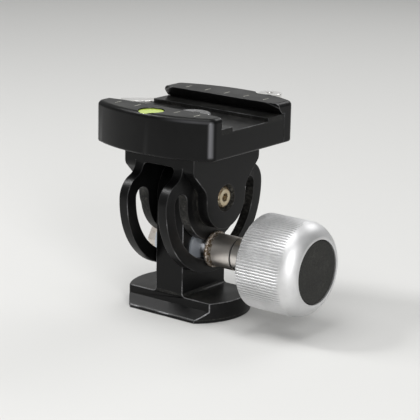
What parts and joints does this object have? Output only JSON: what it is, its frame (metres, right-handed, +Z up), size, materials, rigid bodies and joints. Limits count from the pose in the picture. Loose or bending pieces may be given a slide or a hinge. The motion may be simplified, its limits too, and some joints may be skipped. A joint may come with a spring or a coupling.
{
  "type": "pan tilt head",
  "caption": "Tilt head with a dovetail base, a slotted yoke locked by a side knob, and a lever clamp with a bubble level for dovetail plates.",
  "frame": {"origin": "centre of the tripod thread's mouth, in the base's bottom face", "axes": "+Z up through the stem, +X along the lock knob's shaft towards the knob, -Y towards the fixed jaw with the level"},
  "size_m": [0.1101, 0.0747, 0.087],
  "materials": {
    "black_anodised": "satin black anodised",
    "silver_anodised": "bead blasted, clear anodised",
    "stainless_steel": "fine turned",
    "gilt_steel": "yellow zinc plated",
    "bronze": "sintered",
    "dark_polymer": "matte",
    "level_white": "matte",
    "level_green": "clear fluid",
    "level_clear": "polished"
  },
  "bodies": {
    "base": {"base_stem": "black_anodised", "lock_shaft": "stainless_steel", "lock_washer": "stainless_steel", "lock_nut": "stainless_steel", "shaft_stop_screw": "stainless_steel", "friction_washer_left": "stainless_steel", "friction_washer_right": "stainless_steel", "pivot_bushing_left": "bronze", "pivot_bushing_right": "bronze"},
    "yoke": {"yoke_frame": "black_anodised", "pivot_axle": "stainless_steel", "pivot_screw_left": "gilt_steel", "pivot_screw_right": "gilt_steel", "clamp_body": "black_anodised", "clamp_mount_screw": "stainless_steel", "clamp_dowel_pins": "stainless_steel", "level_cup": "level_white", "level_fluid": "level_green", "level_window": "level_clear", "cam_pull_rod": "stainless_steel", "lever_pin": "stainless_steel", "jaw_return_springs": "stainless_steel"},
    "jaw": {"movable_jaw": "black_anodised", "jaw_guide_rods": "stainless_steel"},
    "lever": {"clamp_lever": "silver_anodised"},
    "sleeve": {"lock_sleeve": "stainless_steel", "thrust_washer": "dark_polymer"},
    "knob": {"knob_shell": "silver_anodised", "knob_insert": "stainless_steel", "knob_cap": "black_anodised"}
  },
  "joints": [
    {"name": "tilt", "type": "hinge", "parent": "base", "child": "yoke", "pos_m": [0, 0, 0.0492], "axis": [1, 0, 0], "range_deg": [-90, 90]},
    {"name": "lever_swing", "type": "hinge", "parent": "yoke", "child": "lever", "pos_m": [0.0117, 0.0367, 0.0771], "axis": [0, 0, -1], "range_deg": [0, 90]},
    {"name": "jaw_slide", "type": "slide", "parent": "yoke", "child": "jaw", "axis": [0, 1, 0], "range_m": [0, 0.0015]},
    {"name": "knob_turn", "type": "hinge", "parent": "sleeve", "child": "knob", "pos_m": [0.05, 0, 0.0267], "axis": [1, 0, 0], "range_deg": [0, 360]},
    {"name": "sleeve_slide", "type": "slide", "parent": "base", "child": "sleeve", "axis": [1, 0, 0], "range_m": [0, 0.00125]}
  ],
  "couplings": [
    {"joint": "lever_swing", "follows": "jaw_slide", "rad_per_m": 1047.2},
    {"joint": "knob_turn", "follows": "sleeve_slide", "rad_per_m": 5026.5}
  ]
}
